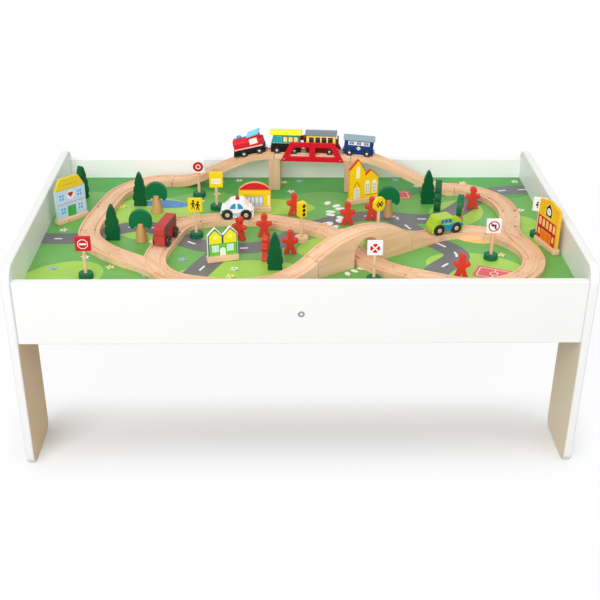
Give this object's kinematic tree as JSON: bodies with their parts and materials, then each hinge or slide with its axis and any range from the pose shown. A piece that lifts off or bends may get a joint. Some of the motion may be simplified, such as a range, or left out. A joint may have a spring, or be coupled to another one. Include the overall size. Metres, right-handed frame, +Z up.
{
  "type": "train table",
  "caption": "Low white play table with cut-out end panels, a printed tray, a wooden railway with an overpass and an arch bridge, rolling toy vehicles and a small block town.",
  "frame": {"origin": "middle of the footprint on the floor", "axes": "+X along the table to the right, +Y from front to back, +Z up"},
  "size_m": [1, 0.6, 0.4642],
  "materials": {
    "beech": "sanded beech",
    "black_paint": "gloss paint on wood",
    "blue_paint": "gloss paint on wood",
    "brown_wood": "turned, stained",
    "building_print": "gloss paint on wood",
    "cream_paint": "gloss paint on wood",
    "green_paint": "gloss paint on wood",
    "grey_paint": "gloss paint on wood",
    "lime_paint": "gloss paint on wood",
    "maroon_paint": "gloss paint on wood",
    "navy_paint": "gloss paint on wood",
    "play_print": "printed paper under satin lacquer",
    "red_paint": "gloss paint on wood",
    "sign_print": "gloss paint on wood",
    "steel": "zinc-plated",
    "teal_paint": "gloss paint on wood",
    "wheel_plastic": "moulded, with a steel hub",
    "white_paint": "gloss paint on wood",
    "white_panel": "satin white lacquer on board",
    "yellow_paint": "gloss paint on wood"
  },
  "bodies": {
    "table": {"left_end_panel": "white_panel", "right_end_panel": "white_panel", "front_apron": "white_panel", "back_apron": "white_panel", "play_board": "play_print", "centre_rail": "white_panel", "connecting_bolts": "steel", "barrel_nuts": "steel", "dowels": "beech", "flat_tracks": "beech", "switch_tracks": "beech", "overpass_ramps": "beech", "overpass_deck": "beech", "overpass_piers": "beech", "bridge_sides": "red_paint", "arch_bridge": "beech", "arch_ramps": "beech", "hospital": "building_print", "station": "building_print", "chapel": "building_print", "twin_house": "building_print", "fire_station": "building_print", "building_feet": "beech", "sign_plates": "sign_print", "sign_posts": "beech", "sign_bases": "green_paint", "pine_trees": "green_paint", "tree_crowns": "green_paint", "tree_trunks": "brown_wood", "little_people": "red_paint"},
    "engine": {"engine_body": "red_paint", "engine_chassis": "black_paint", "engine_cab_roof": "blue_paint", "engine_chimney": "blue_paint"},
    "engine_front_wheels": {"engine_front_wheels": "wheel_plastic"},
    "engine_rear_wheels": {"engine_rear_wheels": "wheel_plastic"},
    "first_coach": {"first_coach_body": "teal_paint", "first_coach_chassis": "black_paint", "first_coach_roof": "yellow_paint"},
    "first_coach_front_wheels": {"first_coach_front_wheels": "wheel_plastic"},
    "first_coach_rear_wheels": {"first_coach_rear_wheels": "wheel_plastic"},
    "second_coach": {"second_coach_body": "cream_paint", "second_coach_chassis": "maroon_paint", "second_coach_roof": "grey_paint"},
    "second_coach_front_wheels": {"second_coach_front_wheels": "wheel_plastic"},
    "second_coach_rear_wheels": {"second_coach_rear_wheels": "wheel_plastic"},
    "third_coach": {"third_coach_body": "navy_paint", "third_coach_roof": "grey_paint"},
    "third_coach_front_wheels": {"third_coach_front_wheels": "wheel_plastic"},
    "third_coach_rear_wheels": {"third_coach_rear_wheels": "wheel_plastic"},
    "white_car": {"white_car_body": "white_paint", "white_car_beacon": "red_paint"},
    "white_car_front_wheels": {"white_car_front_wheels": "wheel_plastic"},
    "white_car_rear_wheels": {"white_car_rear_wheels": "wheel_plastic"},
    "green_car": {"green_car_body": "lime_paint"},
    "green_car_front_wheels": {"green_car_front_wheels": "wheel_plastic"},
    "green_car_rear_wheels": {"green_car_rear_wheels": "wheel_plastic"},
    "wagon": {"wagon_body": "red_paint"},
    "wagon_front_wheels": {"wagon_front_wheels": "wheel_plastic"},
    "wagon_rear_wheels": {"wagon_rear_wheels": "wheel_plastic"}
  },
  "joints": [
    {"name": "train_roll", "type": "slide", "parent": "table", "child": "second_coach", "axis": [0.9963, -0.0854, 0], "range_m": [-0.001, 0.02]},
    {"name": "first_coach_roll", "type": "slide", "parent": "table", "child": "first_coach", "axis": [0.9963, -0.0854, 0], "range_m": [-0.001, 0.02]},
    {"name": "engine_roll", "type": "hinge", "parent": "table", "child": "engine", "pos_m": [-0.0497, 0.22809, 0.248], "axis": [0.0854, 0.9963, 0], "range_deg": [-0.36, 6.76]},
    {"name": "third_coach_roll", "type": "hinge", "parent": "table", "child": "third_coach", "pos_m": [0.1157, 0.21391, 0.248], "axis": [0.0854, 0.9963, 0], "range_deg": [-0.36, 6.76]},
    {"name": "first_coach_front_wheels_spin", "type": "hinge", "parent": "first_coach", "child": "first_coach_front_wheels", "pos_m": [-0.04073, 0.22732, 0.4229], "axis": [0.0854, 0.9963, 0], "range_deg": [-8.93, 169.02]},
    {"name": "first_coach_rear_wheels_spin", "type": "hinge", "parent": "first_coach", "child": "first_coach_rear_wheels", "pos_m": [-0.00486, 0.22425, 0.4229], "axis": [0.0854, 0.9963, 0], "range_deg": [-8.93, 169.02]},
    {"name": "second_coach_front_wheels_spin", "type": "hinge", "parent": "second_coach", "child": "second_coach_front_wheels", "pos_m": [0.032, 0.22109, 0.4229], "axis": [0.0854, 0.9963, 0], "range_deg": [-8.93, 169.02]},
    {"name": "second_coach_rear_wheels_spin", "type": "hinge", "parent": "second_coach", "child": "second_coach_rear_wheels", "pos_m": [0.06787, 0.21801, 0.4229], "axis": [0.0854, 0.9963, 0], "range_deg": [-8.93, 169.02]},
    {"name": "engine_front_wheels_spin", "type": "hinge", "parent": "engine", "child": "engine_front_wheels", "pos_m": [-0.10902, 0.23318, 0.41243], "axis": [0.0854, 0.9963, 0], "range_deg": [-8.82, 166.84]},
    {"name": "engine_rear_wheels_spin", "type": "hinge", "parent": "engine", "child": "engine_rear_wheels", "pos_m": [-0.07719, 0.23045, 0.42069], "axis": [0.0854, 0.9963, 0], "range_deg": [-8.82, 166.84]},
    {"name": "third_coach_front_wheels_spin", "type": "hinge", "parent": "third_coach", "child": "third_coach_front_wheels", "pos_m": [0.1089, 0.21449, 0.42274], "axis": [0.0854, 0.9963, 0], "range_deg": [-8.82, 166.84]},
    {"name": "third_coach_rear_wheels_spin", "type": "hinge", "parent": "third_coach", "child": "third_coach_rear_wheels", "pos_m": [0.1447, 0.21142, 0.42043], "axis": [0.0854, 0.9963, 0], "range_deg": [-8.82, 166.84]},
    {"name": "white_car_roll", "type": "hinge", "parent": "table", "child": "white_car", "pos_m": [-0.12061, -0.16058, 0.35], "axis": [0, 0, 1], "range_deg": [-12.5, 12.5]},
    {"name": "white_car_front_wheels_spin", "type": "hinge", "parent": "white_car", "child": "white_car_front_wheels", "pos_m": [-0.13816, 0.04065, 0.3586], "axis": [0.0035, 1, 0], "range_deg": [-240.98, 240.98]},
    {"name": "white_car_rear_wheels_spin", "type": "hinge", "parent": "white_car", "child": "white_car_rear_wheels", "pos_m": [-0.10166, 0.04053, 0.3586], "axis": [0.0035, 1, 0], "range_deg": [-240.98, 240.98]},
    {"name": "green_car_roll", "type": "hinge", "parent": "table", "child": "green_car", "pos_m": [0.31207, -0.12101, 0.35], "axis": [0, 0, 1], "range_deg": [-36, 0.5]},
    {"name": "green_car_front_wheels_spin", "type": "hinge", "parent": "green_car", "child": "green_car_front_wheels", "pos_m": [0.29448, -0.02257, 0.3586], "axis": [-0.3502, 0.9367, 0], "range_deg": [-5.26, 343.36]},
    {"name": "green_car_rear_wheels_spin", "type": "hinge", "parent": "green_car", "child": "green_car_rear_wheels", "pos_m": [0.26076, -0.03518, 0.3586], "axis": [-0.3502, 0.9367, 0], "range_deg": [-5.26, 343.36]},
    {"name": "wagon_roll", "type": "slide", "parent": "table", "child": "wagon", "axis": [0.2419, 0.9703, 0], "range_m": [-0.0075, 0.014]},
    {"name": "wagon_front_wheels_spin", "type": "hinge", "parent": "wagon", "child": "wagon_front_wheels", "pos_m": [-0.25367, -0.08866, 0.3586], "axis": [-0.9703, 0.2419, 0], "range_deg": [-41.43, 76.89]},
    {"name": "wagon_rear_wheels_spin", "type": "hinge", "parent": "wagon", "child": "wagon_rear_wheels", "pos_m": [-0.24363, -0.04839, 0.3586], "axis": [-0.9703, 0.2419, 0], "range_deg": [-41.43, 76.89]}
  ],
  "couplings": [
    {"joint": "first_coach_roll", "follows": "train_roll", "ratio": 1},
    {"joint": "engine_roll", "follows": "train_roll", "rad_per_m": 5.8824},
    {"joint": "third_coach_roll", "follows": "train_roll", "rad_per_m": 5.8824},
    {"joint": "first_coach_front_wheels_spin", "follows": "train_roll", "rad_per_m": 147.06},
    {"joint": "first_coach_rear_wheels_spin", "follows": "train_roll", "rad_per_m": 147.06},
    {"joint": "second_coach_front_wheels_spin", "follows": "train_roll", "rad_per_m": 147.06},
    {"joint": "second_coach_rear_wheels_spin", "follows": "train_roll", "rad_per_m": 147.06},
    {"joint": "engine_front_wheels_spin", "follows": "train_roll", "rad_per_m": 145.16},
    {"joint": "engine_rear_wheels_spin", "follows": "train_roll", "rad_per_m": 145.16},
    {"joint": "third_coach_front_wheels_spin", "follows": "train_roll", "rad_per_m": 145.16},
    {"joint": "third_coach_rear_wheels_spin", "follows": "train_roll", "rad_per_m": 145.16},
    {"joint": "white_car_front_wheels_spin", "follows": "white_car_roll", "ratio": -19.238},
    {"joint": "white_car_rear_wheels_spin", "follows": "white_car_roll", "ratio": -19.238},
    {"joint": "green_car_front_wheels_spin", "follows": "green_car_roll", "ratio": -9.5238},
    {"joint": "green_car_rear_wheels_spin", "follows": "green_car_roll", "ratio": -9.5238},
    {"joint": "wagon_front_wheels_spin", "follows": "wagon_roll", "rad_per_m": 95.238},
    {"joint": "wagon_rear_wheels_spin", "follows": "wagon_roll", "rad_per_m": 95.238}
  ]
}
